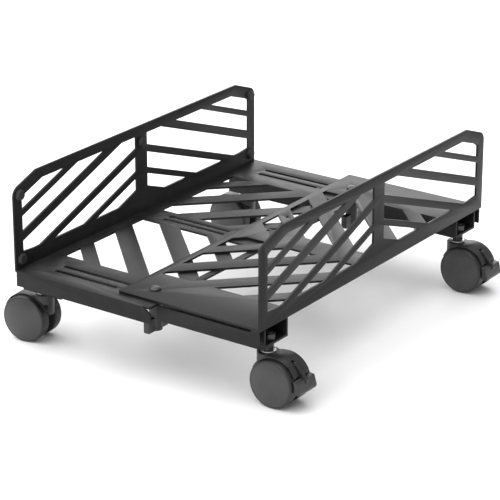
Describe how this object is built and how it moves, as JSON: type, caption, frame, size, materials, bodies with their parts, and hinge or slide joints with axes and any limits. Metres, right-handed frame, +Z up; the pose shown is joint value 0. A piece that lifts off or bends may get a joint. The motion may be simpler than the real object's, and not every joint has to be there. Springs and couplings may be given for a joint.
{
  "type": "cpu holder",
  "caption": "Black steel PC tower stand on twin-wheel casters: slotted trays slide together to set its width, with raised slotted side panels.",
  "frame": {"origin": "centre of the footprint, on the floor under the wheels", "axes": "+X towards the panel whose casters have brake pedals, +Y from front to back along the side panels, +Z up"},
  "size_m": [0.3615, 0.434, 0.183],
  "materials": {
    "black_powder_coat": "satin",
    "black_rubber": "matte",
    "black_oxide_steel": "satin",
    "zinc_steel": "satin",
    "black_nylon": "satin",
    "tread_nylon": "matte",
    "cap_nylon": "satin"
  },
  "bodies": {
    "left_half": {"left_tray": "black_powder_coat", "left_bumpers": "black_rubber", "left_stem_nuts": "zinc_steel", "left_stem_washers": "zinc_steel", "caster_fl_stem": "zinc_steel", "caster_rl_stem": "zinc_steel"},
    "right_half": {"right_tray": "black_powder_coat", "right_bumpers": "black_rubber", "right_stem_nuts": "zinc_steel", "right_stem_washers": "zinc_steel", "caster_fr_stem": "zinc_steel", "caster_rr_stem": "zinc_steel", "clamp_bolts": "black_oxide_steel", "clamp_washers": "zinc_steel"},
    "front_clamp": {"front_knob": "black_nylon"},
    "rear_clamp": {"rear_knob": "black_nylon"},
    "swivel_fl": {"caster_fl_housing": "black_nylon", "caster_fl_axle": "zinc_steel"},
    "wheel_fl_front": {"caster_fl_front_wheel": "tread_nylon", "caster_fl_front_cap": "cap_nylon"},
    "wheel_fl_rear": {"caster_fl_rear_wheel": "tread_nylon", "caster_fl_rear_cap": "cap_nylon"},
    "swivel_fr": {"caster_fr_housing": "black_nylon", "caster_fr_axle": "zinc_steel", "front_pedal_pin": "zinc_steel"},
    "wheel_fr_front": {"caster_fr_front_wheel": "tread_nylon", "caster_fr_front_cap": "cap_nylon"},
    "wheel_fr_rear": {"caster_fr_rear_wheel": "tread_nylon", "caster_fr_rear_cap": "cap_nylon"},
    "swivel_rl": {"caster_rl_housing": "black_nylon", "caster_rl_axle": "zinc_steel"},
    "wheel_rl_front": {"caster_rl_front_wheel": "tread_nylon", "caster_rl_front_cap": "cap_nylon"},
    "wheel_rl_rear": {"caster_rl_rear_wheel": "tread_nylon", "caster_rl_rear_cap": "cap_nylon"},
    "swivel_rr": {"caster_rr_housing": "black_nylon", "caster_rr_axle": "zinc_steel", "rear_pedal_pin": "zinc_steel"},
    "wheel_rr_front": {"caster_rr_front_wheel": "tread_nylon", "caster_rr_front_cap": "cap_nylon"},
    "wheel_rr_rear": {"caster_rr_rear_wheel": "tread_nylon", "caster_rr_rear_cap": "cap_nylon"},
    "front_pedal": {"front_brake_pedal": "black_nylon"},
    "rear_pedal": {"rear_brake_pedal": "black_nylon"}
  },
  "joints": [
    {"name": "width_slide", "type": "slide", "parent": "left_half", "child": "right_half", "axis": [1, 0, 0], "range_m": [-0.075, 0.005]},
    {"name": "front_knob_turn", "type": "hinge", "parent": "right_half", "child": "front_clamp", "pos_m": [0, -0.1795, 0.05], "axis": [0, 0, 1], "continuous": true},
    {"name": "rear_knob_turn", "type": "hinge", "parent": "right_half", "child": "rear_clamp", "pos_m": [0, 0.1795, 0.05], "axis": [0, 0, 1], "continuous": true},
    {"name": "swivel_fl_turn", "type": "hinge", "parent": "left_half", "child": "swivel_fl", "pos_m": [-0.141, -0.187, 0.055], "axis": [0, 0, 1], "continuous": true},
    {"name": "wheel_fl_front_spin", "type": "hinge", "parent": "swivel_fl", "child": "wheel_fl_front", "pos_m": [-0.15492, -0.18846, 0.025], "axis": [-0.1045, 0.9945, 0], "continuous": true},
    {"name": "wheel_fl_rear_spin", "type": "hinge", "parent": "swivel_fl", "child": "wheel_fl_rear", "pos_m": [-0.15492, -0.18846, 0.025], "axis": [-0.1045, 0.9945, 0], "continuous": true},
    {"name": "swivel_fr_turn", "type": "hinge", "parent": "right_half", "child": "swivel_fr", "pos_m": [0.133, -0.173, 0.055], "axis": [0, 0, 1], "continuous": true},
    {"name": "wheel_fr_front_spin", "type": "hinge", "parent": "swivel_fr", "child": "wheel_fr_front", "pos_m": [0.147, -0.173, 0.025], "axis": [0, 1, 0], "continuous": true},
    {"name": "wheel_fr_rear_spin", "type": "hinge", "parent": "swivel_fr", "child": "wheel_fr_rear", "pos_m": [0.147, -0.173, 0.025], "axis": [0, 1, 0], "continuous": true},
    {"name": "swivel_rl_turn", "type": "hinge", "parent": "left_half", "child": "swivel_rl", "pos_m": [-0.141, 0.173, 0.055], "axis": [0, 0, 1], "continuous": true},
    {"name": "wheel_rl_front_spin", "type": "hinge", "parent": "swivel_rl", "child": "wheel_rl_front", "pos_m": [-0.155, 0.173, 0.025], "axis": [0, 1, 0], "continuous": true},
    {"name": "wheel_rl_rear_spin", "type": "hinge", "parent": "swivel_rl", "child": "wheel_rl_rear", "pos_m": [-0.155, 0.173, 0.025], "axis": [0, 1, 0], "continuous": true},
    {"name": "swivel_rr_turn", "type": "hinge", "parent": "right_half", "child": "swivel_rr", "pos_m": [0.133, 0.187, 0.055], "axis": [0, 0, 1], "continuous": true},
    {"name": "wheel_rr_front_spin", "type": "hinge", "parent": "swivel_rr", "child": "wheel_rr_front", "pos_m": [0.147, 0.187, 0.025], "axis": [0, 1, 0], "continuous": true},
    {"name": "wheel_rr_rear_spin", "type": "hinge", "parent": "swivel_rr", "child": "wheel_rr_rear", "pos_m": [0.147, 0.187, 0.025], "axis": [0, 1, 0], "continuous": true},
    {"name": "front_pedal_hinge", "type": "hinge", "parent": "swivel_fr", "child": "front_pedal", "pos_m": [0.164, -0.173, 0.044], "axis": [0, -1, 0], "range_deg": [0, 12]},
    {"name": "rear_pedal_hinge", "type": "hinge", "parent": "swivel_rr", "child": "rear_pedal", "pos_m": [0.164, 0.187, 0.044], "axis": [0, -1, 0], "range_deg": [0, 12]}
  ]
}
